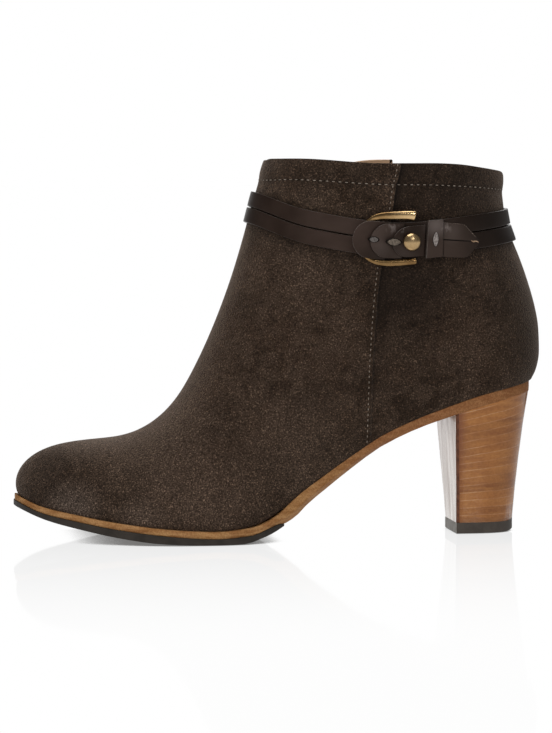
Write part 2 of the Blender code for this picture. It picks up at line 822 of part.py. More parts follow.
def make_buckle_frame(material):
    """Brass horseshoe: two blunt arms, and a thin bend under the first link."""
    path = LOWER_ARM + [BAR_BEND] + UPPER_ARM[::-1]
    builder = bmesh.new()
    rings = []
    for i, row in enumerate(path):
        before = path[max(i - 1, 0)]
        after = path[min(i + 1, len(path) - 1)]
        run = Vector((after.along - before.along, after.across - before.across)).normalized()
        ring = []
        for k in range(BAR_SIDES):
            angle = 2.0 * pi * k / BAR_SIDES
            sideways = cos(angle) * row.breadth / 2.0
            rise = (1.0 + sin(angle)) * row.height / 2.0
            along = row.along - run.y * sideways
            across = row.across + run.x * sideways
            ring.append(on_strap(along * MM, across * MM, ON_STRAP + rise * MM))
        rings.append(ring)
    rows = skin_rings(builder, rings, closed=True)
    builder.faces.new(rows[0])
    builder.faces.new(rows[-1])
    return finish("buckle_frame", builder, material)


def main():
    for thing in list(bpy.data.objects):
        bpy.data.objects.remove(thing)
    make_upper(plain_finish("suede", (0.040, 0.026, 0.018), 0.95))
    make_insole(plain_finish("insole_leather", (0.45, 0.28, 0.14), 0.7))
    make_leather_sole(plain_finish("sole_leather", (0.42, 0.19, 0.06), 0.5))
    rubber = plain_finish("black_rubber", (0.012, 0.012, 0.012), 0.6)
    make_forefoot_outsole(rubber)
    make_heel_top_lift(rubber)
    make_heel_block(plain_finish("heel_leather", (0.36, 0.15, 0.05), 0.4))
    strap = plain_finish("strap_leather", (0.028, 0.014, 0.010), 0.4)
    make_ankle_strap("ankle_strap_upper", STRAP_SPLIT / 2.0, strap)
    make_ankle_strap("ankle_strap_lower", -STRAP_SPLIT / 2.0 - STRAP_WIDTH, strap)
    make_links(strap)
    make_keeper_loop(strap)
    make_strap_tip(strap)
    brass = plain_finish("brass", (0.42, 0.25, 0.07), 0.35, 1.0)
    make_buckle_frame(brass)
    make_stud(brass)


main()
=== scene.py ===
"""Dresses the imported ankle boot: suede, stitching, straps, brass, stacked heel and soles, in a white studio.

Lengths are metres. The toe points to -X, the outer side of the left foot to -Y, and the floor is z = 0.
"""
from math import cos, exp, pi, radians, sin, sqrt

import bpy
from mathutils import Matrix, Vector
from mathutils.bvhtree import BVHTree
from mathutils.kdtree import KDTree


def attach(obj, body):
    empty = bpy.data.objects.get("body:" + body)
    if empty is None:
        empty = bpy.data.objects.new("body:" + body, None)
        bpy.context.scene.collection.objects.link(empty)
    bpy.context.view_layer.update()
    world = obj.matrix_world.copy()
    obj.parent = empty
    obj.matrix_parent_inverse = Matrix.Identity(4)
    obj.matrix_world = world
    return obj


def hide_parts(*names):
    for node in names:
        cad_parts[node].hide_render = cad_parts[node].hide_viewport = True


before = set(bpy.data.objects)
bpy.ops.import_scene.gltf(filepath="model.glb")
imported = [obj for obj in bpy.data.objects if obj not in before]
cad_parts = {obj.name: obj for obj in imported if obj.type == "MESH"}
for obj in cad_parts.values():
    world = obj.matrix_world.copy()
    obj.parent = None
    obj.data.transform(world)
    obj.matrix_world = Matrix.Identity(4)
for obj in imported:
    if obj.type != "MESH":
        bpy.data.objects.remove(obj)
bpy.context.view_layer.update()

MM = 0.001
BODY = "root"
MERGE = 0.01 * MM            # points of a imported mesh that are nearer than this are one
OUTER_SIDE = Vector((0.0, -1.0, 0.0))
OUTSIDE = 0.2                # rays at the boot start this far from its middle
LOOKS_DOWN = -0.75           # a face looks down where its normal's z is under this
LOOKS_AHEAD = -0.9           # a face looks toward the toe where its normal's x is under this

# Camera of the photograph
CAMERA_PLACE = (-0.2508, -1.5741, 0.1900)
CAMERA_TURN = (radians(85.967), 0.0, radians(-9.0))
CAMERA_LENS = 169.7          # in millimetres, as is the sensor's width
CAMERA_SENSOR = 36.0

# Seams of the upper, where the front panel overlaps the rear one: height and x of the outer stitch row, in
# millimetres
SEAM_ROW = [
    (42.0, 36.0), (58.0, 36.2), (86.0, 36.8), (123.0, 39.5), (148.0, 44.4), (160.0, 46.1), (172.0, 48.7),
]
SEAM_ENDS = (171.0, 44.2)    # heights of the stitch row's upper and lower end, in millimetres
SEAM_STITCH = 1.5 * MM       # stitch row to the panel's cut edge
SEAM_LEAN = 9.3 * MM         # the inner seam leans back by this at the collar
SEAM_STEP = 0.5 * MM         # thickness of the cut edge
SEAM_SLOPE = 0.3 * MM        # how far the cut edge leans
SEAM_CUTS = (-1.2 * MM, 0.0, SEAM_SLOPE, 1.4 * MM, 4.0 * MM)  # lines that carry its fold and shadow
SEAM_FADE = 32.0 * MM        # the raised panel levels out over this length

# Stitch row under the collar: x and height along both sides, in millimetres
COLLAR_ROW = [(-8.0, 163.8), (5.0, 164.3), (42.0, 162.2), (65.0, 161.9), (88.0, 160.6), (104.0, 159.0)]
COLLAR_CENTRE = 48.0 * MM    # x of the middle of the shaft

# Rows of thread: pitch, length and width of a stitch
COLLAR_THREAD = (3.0 * MM, 1.4 * MM, 0.42 * MM)
SEAM_THREAD = (2.5 * MM, 1.1 * MM, 0.44 * MM)
STITCH_HOLE = (3.0 * MM, 0.9 * MM, 0.70 * MM)
THREAD_LIFT = 0.05 * MM      # the middle of a stitch lies this far over the nap
HOLE_DEPTH = 0.2 * MM        # the middle of a needle hole lies this far under it

# Inner side of the collar: it sinks, and its front panel stands up beside the seam
INNER_BEND = (150.0 * MM, 165.0 * MM)  # heights between which it bends more and more
INNER_SIDE = 15.0 * MM       # beyond this far from the middle of the boot it bends fully
INNER_SINK = 1.3 * MM
INNER_RISE = 2.2 * MM
INNER_REACH = 20.0 * MM      # the panel stands up over about this length
FOLD_FOOT = 165.0 * MM       # above this, suede is folded in along the inner seam
INNER_LINING = 26.0 * MM     # length over which the lining shows up to the rim

# Painted shade stored in the nap's colour: its depth, and the millimetres over which it grows or fades
BAND_SHADE = (0.20, 2.0)     # on the collar's band, above its stitches
GROOVE_SHADE = (0.35, 1.5)   # in the groove of the stitches
EDGE_SHADE = (0.26, 1.6)     # behind the panel's cut edge
HIGH_EDGE_SHADE = (0.22, 1.6)  # as much more there, near the collar
PANEL_SHADE = (0.66, 22.0)   # on the rear panel, near the collar
STRAP_SHADE = (0.66, 3.6)    # below the straps
STRAP_BRIM_SHADE = (0.30, 1.2)  # above the straps
SOLE_SHADE = (0.12, 0.8)     # over the sole
SHADE_HEIGHTS = (60.0, 130.0)  # heights between which the seam's shade grows, in millimetres
SHADE_START = 0.1            # the seam's shade starts this far behind the cut edge, in millimetres

# Joining and rounding
LINING_SPOT = Vector((50.0, -33.0, 125.0)) * MM  # a place on the lining of the outer side
UPPER_DROP = 0.25 * MM       # the wall's foot is drawn down by this to meet the sole
SOLE_RISE = 0.32 * MM        # soles and lift rise by this to meet the piece above
HEEL_RISE = 0.8 * MM         # the heel's top rises by this to meet the sole
METAL_SPARE = 0.13 * MM      # brass is thickened by this, because its rounding takes as much off
DOME_START = 0.25            # share of the stud's height above which it is drawn into a dome
DOME_FOOT = 0.2              # share of its height at which the dome begins
HEEL_LAYERS = 15             # layers of leather in the stack
HEEL_CORNER = 1.3 * MM       # bevel of the corners beside the heel's front
HEEL_UPRIGHT = 3.0 * MM      # an edge of the heel's front that climbs more than this is a corner
SOCK_REACH = 1.9 * MM        # the leather sock reaches beyond the insole board

# Slits of the strap: x and height of the middle, length and breadth in millimetres, tilt in degrees, and the
# share of the length that the flesh side fills
SLITS = {
    "link_slit_1": (36.7, 137.5, 5.4, 2.8, -4.0, 0.78),
    "link_slit_2": (46.0, 136.3, 7.8, 3.6, -4.0, 0.84),
    "keeper_slit": (65.7, 137.4, 6.8, 2.9, 88.0, 0.95),
}
SLIT_TAPER = 0.3             # share of its breadth that a slit loses toward its ends
SLIT_RIM = 1.2 * MM          # height of a slit's rim over its foot
SLIT_LIP = 0.1 * MM          # the flesh side starts this far under the rim
SLIT_FILL = 0.86             # share of the breadth that the flesh side fills
SLIT_CROWN = ((0.96, 0.12 * MM), (0.6, 0.14 * MM))  # steps of the flesh side: shrink and lift
SLIT_FLESH = 1.155 * MM      # what stands higher than this over a slit's foot is flesh side
SLIT_SINK = 1.05 * MM        # a slit's foot lies this deep in the leather

# Slit of the strap tip, and the loose thread in it
TIP_SLIT = 0.28 * MM         # half the slit's breadth
TIP_SLIT_DARK = 0.24 * MM    # half the breadth that is painted dark as shade in the slit
TIP_SLIT_DEPTH = 0.6 * MM
TIP_EDGE = 2.0 * MM          # the pale cut edge is more than this above the slit
TIP_THREAD = (4.6 * MM, 0.8 * MM, 0.5 * MM)  # length, breadth and thickness
TIP_THREAD_WAVE = 0.22 * MM
TIP_THREAD_PLACE = 0.16      # share of the way from the tip's point to its blunt end
TIP_THREAD_LIFT = 0.1 * MM

# Brushed places and smudges of the suede, and painted light and shade: centre and reach in millimetres, share
# and tone
SUEDE_PATCHES = [
    ((-64, -6, 48), 50, 0.62, (0.100, 0.069, 0.050)),      # top of the vamp: brushed nap and painted light
    ((-44, -38, 16), 44, 0.56, (0.096, 0.064, 0.046)),     # painted light from the floor on the outer side of the ball
    ((2, -34, 44), 40, 0.50, (0.082, 0.055, 0.039)),       # painted light on the arch
    ((8, -30, 126), 30, 0.45, (0.078, 0.052, 0.037)),      # painted light on the front of the shaft
    ((8, -34, 158), 15, 0.50, (0.092, 0.063, 0.046)),      # under the collar, in front
    ((-86, 4, 47), 30, 0.75, (0.125, 0.090, 0.068)),       # top of the toe: brushed nap and painted light
    ((-110, -12, 30), 16, 0.40, (0.022, 0.0150, 0.011)),   # toe tip
    ((-92, -34, 26), 13, 0.40, (0.020, 0.0138, 0.010)),    # smudge beside the toe
    ((-102, -27, 13), 22, 0.70, (0.125, 0.096, 0.078)),    # painted light from the floor above the toe's welt
    ((-72, -42, 9), 20, 0.70, (0.125, 0.088, 0.067)),      # painted light from the floor above the ball's welt
    ((56, -37, 114), 27, 0.68, (0.012, 0.0076, 0.0054)),   # painted shadow under the buckle
    ((114, -6, 94), 44, 0.85, (0.013, 0.0090, 0.0058)),    # painted shade on the back of the counter
    ((84, -30, 156), 30, 0.50, (0.016, 0.0112, 0.0082)),   # painted shade on the rear of the shaft, above the strap
]

# Pale places of the strap, most of them painted highlights where the leather bends: centre and reach in
# millimetres, share, and whether they break into streaks
STRAP_PALE_SPOTS = [
    # painted highlights on the bent tops of link 2, link 3 and the keeper, and painted glints on the crinkled
    # tip beside the keeper
    ((45.6, -41.0, 143.2), 4.5, 0.5, True),
    ((50.2, -41.0, 142.4), 3.2, 0.5, True),
    ((66.0, -41.0, 144.0), 8.5, 0.36, False),
    ((71.4, -39.0, 142.4), 4.0, 0.9, True),
    # faint pale places
    ((40.5, -41.0, 133.5), 7.0, 0.08, False),
    ((51.0, -41.0, 132.0), 9.0, 0.06, False),
    ((74.0, -38.0, 141.0), 8.0, 0.10, False),
]

# Spots in the finishes: centre and reach in millimetres
STRAP_LIT = ((20.0, -42.0, 143.0), 31.0)         # painted light on the part of the straps that faces the light
BRASS_WEAR_AND_HIGHLIGHT = ((56.0, -42.0, 148.0), 16.0)      # rubbed end of the buckle's upper arm, with a painted highlight
BREAST_SCRATCHED = ((78.0, 2.0, 56.0), 20.0)     # top of the heel's front

# Changes in the finishes: where they start and end, along X or upward
STRAP_REAR = (72.0 * MM, 92.0 * MM)              # painted shade: the straps darken toward the back
BRASS_LOW = (131.0 * MM, 126.0 * MM)             # painted shade: the lower arm is darker and browner, as it reflects darker surroundings
SOLE_WAIST = (0.0, 50.0 * MM)                    # painted shade: the sole is darker and browner toward the heel
HEEL_LINES = (100.0 * MM, 82.0 * MM)             # lines of the stack are clearer toward its front
HEEL_DARKER_FRONT = (85.0 * MM, 80.0 * MM)              # the stack is darker beside its front
HEEL_FOOT = 4.0 * MM                             # height of the dark foot of the stack

# Studio: floor, brightness of the air, and softboxes with their place, size and power, and whether they
# light up matt and glossy finishes
FLOOR_SIZE = 12.0
FLOOR_PLACE = (0.0, 3.0, -0.2 * MM)
FLOOR_SHADOW = 9.0 * MM      # reach of the painted shadow under the soles
FLOOR_MIRROR = (-0.35, -0.02)  # y between which the mirror grows toward the boot
AIR = 0.18
AIR_BACK = (0.86, 0.96)      # y of a view between which the air turns white behind the boot
LIGHTS_AIM = Vector((0.0, 0.0, 0.08))
SOFTBOXES = [
    ("key_softbox", (-0.75, -1.15, 0.55), 0.9, 6.8, True, False),
    ("front_softbox", (-0.22, -1.50, 0.62), 0.30, 2.7, True, False),
    ("glint_softbox", (0.49, -1.28, 0.85), 0.24, 2.9, False, True),
    ("top_softbox", (-0.1, -0.1, 1.5), 1.2, 12.0, True, True),
    ("rear_softbox", (0.9, 1.1, 0.9), 1.0, 6.0, True, True),
]


# Working by hand in object and edit mode

def alone(piece):
    """Make a piece the only selected object, and the active one."""
    bpy.ops.object.select_all(action="DESELECT")
    piece.select_set(True)
    bpy.context.view_layer.objects.active = piece


def edit(piece):
    """Go into edit mode with a piece."""
    alone(piece)
    bpy.ops.object.mode_set(mode="EDIT")


def edit_all(piece):
    """Go into edit mode with all of a piece selected."""
    edit(piece)
    bpy.ops.mesh.select_all(action="SELECT")


def done():
    bpy.ops.object.mode_set(mode="OBJECT")


def pick(piece, kind, elements, wanted):
    """Go into edit mode with the wanted points, edges or faces selected."""
    edit(piece)
    bpy.ops.mesh.select_mode(type=kind)
    bpy.ops.mesh.select_all(action="DESELECT")
    done()
    for element in getattr(piece.data, elements):
        element.select = wanted(element)
    bpy.ops.object.mode_set(mode="EDIT")


def pick_faces(piece, wanted):
    """Go into edit mode with the faces selected whose centre and normal are wanted."""
    pick(piece, "FACE", "polygons", lambda face: wanted(face.center, face.normal))


def pick_sharp(piece, angle):
    """Go into edit mode with the edges selected where faces meet at more than an angle in degrees."""
    edit(piece)
    bpy.ops.mesh.select_mode(type="EDGE")
    bpy.ops.mesh.select_all(action="DESELECT")
    bpy.ops.mesh.edges_select_sharp(sharpness=radians(angle))


def apply_modifier(piece, kind, **settings):
    """Give a piece a modifier with its settings, and apply it."""
    alone(piece)
    modifier = piece.modifiers.new(kind.lower(), kind)
    for name, value in settings.items():
        setattr(modifier, name, value)
    bpy.ops.object.modifier_apply(modifier=modifier.name)


def subdivide(piece):
    apply_modifier(piece, "SUBSURF", levels=2, render_levels=2)


def smooth(piece, angle):
    """Shade a piece smooth, apart from edges that are sharper than an angle in degrees."""
    alone(piece)
    bpy.ops.object.shade_smooth_by_angle(angle=radians(angle))


def copy_of(node, name):
    """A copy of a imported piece, merged from loose triangles into four-sided faces."""
    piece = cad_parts[node].copy()
    piece.data = piece.data.copy()
    piece.name = name
    piece.parent = None
    for key in list(piece.keys()):
        del piece[key]
    piece.data.materials.clear()
    bpy.context.scene.collection.objects.link(piece)
    edit_all(piece)
    bpy.ops.mesh.remove_doubles(threshold=MERGE)
    bpy.ops.mesh.tris_convert_to_quads(face_threshold=radians(120), shape_threshold=radians(180))
    done()
    return piece


def round_edges(piece, angle, width):
    """Round off the edges that are sharper than an angle in degrees."""
    pick_sharp(piece, angle)
    bpy.ops.mesh.bevel(offset=width, segments=2, affect="EDGES", clamp_overlap=True)
    done()


def paint(piece, *finishes):
    for finish in finishes:
        piece.data.materials.append(finish)


def paint_faces(piece, index, wanted):
    """Give the wanted faces the piece's finish of that number."""
    pick_faces(piece, wanted)
    piece.active_material_index = index
    bpy.ops.object.material_slot_assign()
    done()


def dress(piece, slot, *nodes):
    """Let the piece move with the boot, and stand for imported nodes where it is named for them."""
    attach(piece, BODY)
    if nodes:
        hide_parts(*nodes)


def tree_of(pieces):
    """Search tree over the surfaces of several pieces."""
    points = []
    faces = []
    for piece in pieces:
        start = len(points)
        points += [point.co for point in piece.data.vertices]
        faces += [[start + i for i in face.vertices] for face in piece.data.polygons]
    return BVHTree.FromPolygons(points, faces)


# Finishes

def new_finish(name, colour, roughness, metallic=0.0, **sockets):
    """A finish with its plain values; other sockets of the shader are named in small letters."""
    finish = bpy.data.materials.new(name)
    finish.use_nodes = True
    shader = finish.node_tree.nodes["Principled BSDF"]
    shader.inputs["Base Color"].default_value = (*colour, 1.0)
    shader.inputs["Roughness"].default_value = roughness
    shader.inputs["Metallic"].default_value = metallic
    for socket, value in sockets.items():
        shader.inputs[socket.replace("_", " ").title().replace("Ior", "IOR")].default_value = value
    return finish


def shader_of(finish):
    return finish.node_tree.nodes["Principled BSDF"]


def add(finish, kind, inputs=None, **settings):
    """Add a node with its settings, and with values or links on its inputs."""
    node = finish.node_tree.nodes.new("ShaderNode" + kind)
    for name, value in settings.items():
        setattr(node, name, value)
    for name, value in (inputs or {}).items():
        if isinstance(value, bpy.types.NodeSocket):
            finish.node_tree.links.new(value, node.inputs[name])
        else:
            node.inputs[name].default_value = value
    return node


def place(finish):
    return add(finish, "TexCoord").outputs["Object"]


def axes_of(finish):
    """X, Y and Z of a place on the object."""
    return add(finish, "SeparateXYZ", {0: place(finish)}).outputs


def compute(finish, operation, first, second=0.0):
    return add(finish, "Math", {0: first, 1: second}, operation=operation).outputs[0]


def noise(finish, size, detail, stretch=(1.0, 1.0, 1.0), distortion=0.0):
    """Cloudy pattern whose spots have a size, drawn out along the axes where stretch is under one."""
    where = add(finish, "Mapping", {"Vector": place(finish), "Scale": stretch}).outputs[0]
    inputs = {"Vector": where, "Scale": 1.0 / size, "Detail": detail, "Distortion": distortion}
    return add(finish, "TexNoise", inputs).outputs[0]


def between(finish, value, low, high):
    """Turn a value's range from low to high into 0 to 1, with soft ends."""
    inputs = {"Value": value, "From Min": low, "From Max": high}
    return add(finish, "MapRange", inputs, interpolation_type="SMOOTHSTEP").outputs[0]


def patch(finish, centre, reach):
    """Soft spot: 1 at its centre and 0 beyond its reach."""
    away = add(finish, "VectorMath", {0: place(finish), 1: Vector(centre) * MM}, operation="DISTANCE")
    return between(finish, away.outputs["Value"], reach * MM, 0.0)


def stored(finish, name):
    """A value that the piece's own points carry."""
    return add(finish, "Attribute", attribute_name=name).outputs["Fac"]


def blend(finish, share, first, second, how="MIX"):
    """Mix two colours by a share."""
    node = add(finish, "Mix", data_type="RGBA", blend_type=how)
    links = finish.node_tree.links
    for socket, value in ((node.inputs[0], share), (node.inputs[6], first), (node.inputs[7], second)):
        if isinstance(value, bpy.types.NodeSocket):
            links.new(value, socket)
        elif isinstance(value, tuple):
            socket.default_value = (*value, 1.0)
        else:
            socket.default_value = value
    return node.outputs[2]


def share_of(finish, value, amount):
    return compute(finish, "MULTIPLY", value, amount)


def colour_with(finish, colour):
    finish.node_tree.links.new(colour, shader_of(finish).inputs["Base Color"])


def roughen(finish, value, low, high):
    """Let a value from 0 to 1 change the roughness from low to high."""
    inputs = {"Value": value, "To Min": low, "To Max": high}
    rough = add(finish, "MapRange", inputs).outputs[0]
    finish.node_tree.links.new(rough, shader_of(finish).inputs["Roughness"])


def bump(finish, height, depth, strength):
    """Raise the surface by a pattern of a depth."""
    node = add(finish, "Bump", {"Height": height, "Strength": strength, "Distance": depth})
    finish.node_tree.links.new(node.outputs[0], shader_of(finish).inputs["Normal"])


def mottle(finish, size, detail, dark, pale, low=0.3, high=0.7):
    """Mix two tones in soft spots of a size, and tell the share of the pale one."""
    share = between(finish, noise(finish, size, detail), low, high)
    colour_with(finish, blend(finish, share, dark, pale))
    return share


def suede_finish():
    """Dark brown nap: brushed clouds, fine speckle and pale fibre ends, painted light and shade in places, and
    painted shade in the seams, under the straps and over the sole.
    """
    suede = new_finish(
        "suede", (0.04, 0.026, 0.018), 0.95,
        sheen_weight=0.25, sheen_roughness=0.4, sheen_tint=(0.80, 0.64, 0.53, 1.0), specular_ior_level=0.1,
    )
    clouds = between(suede, noise(suede, 26 * MM, 3.0), 0.36, 0.66)
    smudges = between(suede, noise(suede, 9 * MM, 3.0, distortion=1.0), 0.38, 0.64)
    grain = between(suede, noise(suede, 0.7 * MM, 2.0), 0.34, 0.66)
    fibres = between(suede, noise(suede, 0.55 * MM, 0.0), 0.60, 0.74)
    base = blend(suede, clouds, (0.0265, 0.0160, 0.0098), (0.046, 0.0284, 0.0183))
    base = blend(suede, share_of(suede, smudges, 0.60), base, (0.064, 0.0418, 0.0286))
    # brushed places, smudges, painted light and painted shade
    for centre, reach, share, tone in SUEDE_PATCHES:
        base = blend(suede, share_of(suede, patch(suede, centre, reach), share), base, tone)
    base = blend(suede, grain, base, (0.34, 0.34, 0.34), "MULTIPLY")
    base = blend(suede, share_of(suede, fibres, 0.9), base, (3.0, 3.0, 3.0), "MULTIPLY")
    # painted shade that the points carry
    base = blend(suede, stored(suede, "painted_shade"), base, (0.006, 0.004, 0.003))
    colour_with(suede, base)
    bump(suede, grain, 0.3 * MM, 0.6)
    return suede


def lining_finish():
    """Tan calf inside the upper."""
    lining = new_finish("lining", (0.36, 0.23, 0.135), 0.55)
    mottle(lining, 14 * MM, 3.0, (0.42, 0.262, 0.152), (0.57, 0.380, 0.235), 0.35)
    bump(lining, noise(lining, 0.9 * MM, 3.0), 0.12 * MM, 0.4)
    return lining


def thread_finish(name, dark, pale):
    """Waxed thread."""
    thread = new_finish(name, pale, 0.6)
    mottle(thread, 0.8 * MM, 1.0, dark, pale)
    return thread


def hole_finish():
    """Near-black painted shade in the hollow of a needle hole or a slit."""
    hole = new_finish("hole", (0.006, 0.004, 0.003), 0.9, specular_ior_level=0.1)
    mottle(hole, 0.5 * MM, 2.0, (0.003, 0.002, 0.0015), (0.010, 0.007, 0.005))
    return hole


def strap_finish(name, dark, pale):
    """Smooth dark brown leather with a soft gloss, painted light in its middle, painted shade toward the back,
    and pale spots that are mostly painted highlights.
    """
    strap = new_finish(name, pale, 0.40, specular_ior_level=0.16, specular_tint=(1.0, 0.84, 0.72, 1.0))
    cloud = between(strap, noise(strap, 16 * MM, 3.0, (0.5, 1.0, 1.0)), 0.3, 0.7)
    base = blend(strap, cloud, dark, pale)
    # painted light on the part of the straps that faces the light
    base = blend(strap, patch(strap, *STRAP_LIT), base, (2.15, 2.3, 2.5), "MULTIPLY")
    rear = between(strap, axes_of(strap)[0], *STRAP_REAR)
    # painted shade toward the back of the straps
    base = blend(strap, share_of(strap, rear, 0.6), base, (0.004, 0.0024, 0.0016))
    streaks = between(strap, noise(strap, 1.6 * MM, 2.0, (1.0, 1.0, 0.6)), 0.46, 0.62)
    # pale spots, most of them painted highlights
    for centre, reach, share, streaked in STRAP_PALE_SPOTS:
        pale_spot = patch(strap, centre, reach)
        if streaked:
            pale_spot = share_of(strap, pale_spot, streaks)
        base = blend(strap, share_of(strap, pale_spot, share), base, (0.24, 0.20, 0.185))
    colour_with(strap, base)
    roughen(strap, cloud, 0.36, 0.50)
    bump(strap, noise(strap, 0.6 * MM, 3.0), 0.06 * MM, 0.5)
    return strap


def cut_edge_finish(name, dark, pale, roughness=0.7):
    """Cut edge of the leather, raw or polished."""
    edge = new_finish(name, pale, roughness)
    mottle(edge, 0.9 * MM, 3.0, dark, pale, 0.36, 0.66)
    return edge


def brass_finish(name, dark, pale, roughness):
    """Antique brass: bright at the end of the upper arm, where it is rubbed and has a painted highlight, and
    painted darker and browner low down.
    """
    brass = new_finish(name, pale, roughness, 1.0)
    cloud = between(brass, noise(brass, 6 * MM, 2.0), 0.34, 0.66)
    base = blend(brass, cloud, dark, pale)
    # painted shade on the lower arm
    low = between(brass, axes_of(brass)[2], *BRASS_LOW)
    base = blend(brass, share_of(brass, low, 0.6), base, (0.14, 0.080, 0.032))
    # rubbed end of the upper arm, with a painted highlight
    wear_and_highlight = patch(brass, *BRASS_WEAR_AND_HIGHLIGHT)
    colour_with(brass, blend(brass, share_of(brass, wear_and_highlight, 0.7), base, (0.78, 0.55, 0.29)))
    roughen(brass, cloud, roughness - 0.04, roughness + 0.04)
    bump(brass, noise(brass, 2.0 * MM, 2.0), 0.02 * MM, 0.3)
    return brass


def sole_finish():
    """Tan sole leather, with painted shade that darkens and browns it under the waist."""
    sole = new_finish("sole_leather", (0.26, 0.12, 0.045), 0.7, specular_ior_level=0.06)
    fibre = between(sole, noise(sole, 2.6 * MM, 4.0, (0.3, 0.3, 1.4)), 0.34, 0.68)
    cloud = between(sole, noise(sole, 15 * MM, 2.0), 0.3, 0.7)
    base = blend(sole, fibre, (0.235, 0.104, 0.038), (0.400, 0.220, 0.097))
    base = blend(sole, share_of(sole, cloud, 0.4), base, (0.385, 0.203, 0.075))
    # painted shade under the waist
    waist = between(sole, axes_of(sole)[0], *SOLE_WAIST)
    base = blend(sole, share_of(sole, waist, 0.62), base, (0.215, 0.084, 0.037))
    speckle = between(sole, noise(sole, 0.7 * MM, 2.0), 0.35, 0.65)
    colour_with(sole, blend(sole, speckle, base, (0.72, 0.68, 0.62), "MULTIPLY"))
    bump(sole, fibre, 0.08 * MM, 0.5)
    return sole


def heel_finish(foot, top_rise, top_slope):
    """Stacked leather: layers that lie level at the lift and slant with the seat at the top."""
    heel = new_finish("heel_stack", (0.25, 0.10, 0.035), 0.26, specular_ior_level=0.24)
    axes = axes_of(heel)
    top = compute(heel, "ADD", share_of(heel, axes[0], top_slope), top_rise - foot)
    level = compute(heel, "DIVIDE", compute(heel, "SUBTRACT", axes[2], foot), top)
    sway = share_of(heel, compute(heel, "SUBTRACT", noise(heel, 12 * MM, 2.0), 0.5), 0.022)
    layer = share_of(heel, compute(heel, "ADD", level, sway), HEEL_LAYERS)
    within = compute(heel, "FRACT", layer)
    number = compute(heel, "FLOOR", layer)
    own = add(heel, "TexWhiteNoise", {"W": number}, noise_dimensions="1D").outputs["Value"]
    fibre = between(heel, noise(heel, 3.0 * MM, 4.0, (0.2, 0.2, 1.6)), 0.32, 0.70)
    base = blend(heel, own, (0.220, 0.079, 0.022), (0.330, 0.131, 0.037))
    base = blend(heel, share_of(heel, fibre, 0.50), base, (0.420, 0.184, 0.051))
    line = between(heel, compute(heel, "ABSOLUTE", compute(heel, "SUBTRACT", within, 0.5)), 0.40, 0.49)
    fade = between(heel, noise(heel, 9 * MM, 2.0, (0.3, 0.3, 1.6)), 0.34, 0.60)
    front = between(heel, axes[0], *HEEL_LINES)
    strength = compute(heel, "ADD", share_of(heel, fade, 0.42), share_of(heel, front, 0.42))
    base = blend(heel, share_of(heel, line, strength), base, (0.49, 0.275, 0.140))
    speckle = between(heel, noise(heel, 0.8 * MM, 2.0, (0.6, 0.6, 1.0)), 0.35, 0.65)
    base = blend(heel, speckle, base, (0.86, 0.82, 0.78), "MULTIPLY")
    stain = between(heel, noise(heel, 13 * MM, 3.0, (0.6, 0.6, 1.0)), 0.42, 0.70)
    base = blend(heel, share_of(heel, stain, 0.45), base, (0.160, 0.056, 0.019))
    edge = between(heel, axes[0], *HEEL_DARKER_FRONT)
    base = blend(heel, share_of(heel, edge, 0.75), base, (0.150, 0.046, 0.020))
    low = between(heel, axes[2], foot + HEEL_FOOT, foot)
    colour_with(heel, blend(heel, share_of(heel, low, 0.5), base, (0.120, 0.046, 0.020)))
    bump(heel, fibre, 0.05 * MM, 0.4)
    return heel


def breast_finish():
    """Lacquered front of the heel: its pale grey is a painted reflection of the white studio, in upright wipe
    marks, with scratches near the top.
    """
    breast = new_finish(
        "heel_breast", (0.5, 0.45, 0.41), 0.15, coat_weight=0.35, coat_roughness=0.1, coat_ior=1.5,
    )
    streak = between(breast, noise(breast, 4 * MM, 3.0, (1.0, 1.0, 0.12)), 0.3, 0.7)
    scratch = between(breast, noise(breast, 2.2 * MM, 4.0, (1.0, 1.0, 0.35)), 0.60, 0.66)
    near_top = patch(breast, *BREAST_SCRATCHED)
    # painted reflection of the white studio, in upright streaks
    base = blend(breast, streak, (0.52, 0.450, 0.40), (0.80, 0.735, 0.68))
    base = blend(breast, share_of(breast, scratch, near_top), base, (0.05, 0.035, 0.028))
    colour_with(breast, base)
    roughen(breast, streak, 0.42, 0.14)
    bump(breast, noise(breast, 2.5 * MM, 2.0, (1.0, 1.0, 0.2)), 0.05 * MM, 0.3)
    return breast


def heel_corner_finish():
    """Dark stained edge between the stack and its front."""
    corner = new_finish("heel_corner", (0.10, 0.04, 0.022), 0.6, specular_ior_level=0.2)
    mottle(corner, 2 * MM, 3.0, (0.075, 0.026, 0.013), (0.140, 0.052, 0.026))
    return corner


def rubber_finish(name, roughness, dark, pale):
    """Black rubber with a moulded skin."""
    rubber = new_finish(name, pale, roughness, specular_ior_level=0.18)
    cloud = mottle(rubber, 6 * MM, 3.0, dark, pale)
    roughen(rubber, cloud, roughness - 0.08, roughness + 0.08)
    bump(rubber, noise(rubber, 0.5 * MM, 3.0), 0.05 * MM, 0.5)
    return rubber


def insole_finish():
    """Natural leather of the sock, a little cloudy."""
    sock = new_finish("insole_leather", (0.42, 0.27, 0.15), 0.6)
    mottle(sock, 30 * MM, 3.0, (0.33, 0.20, 0.105), (0.44, 0.285, 0.165))
    bump(sock, noise(sock, 0.8 * MM, 3.0), 0.1 * MM, 0.5)
    return sock


def flesh_finish(name, dark, pale):
    """Rough flesh side of the leather that shows in slits."""
    flesh = new_finish(name, pale, 0.85)
    bump(flesh, mottle(flesh, 0.7 * MM, 3.0, dark, pale), 0.15 * MM, 0.6)
    return flesh


# The upper and its stitching

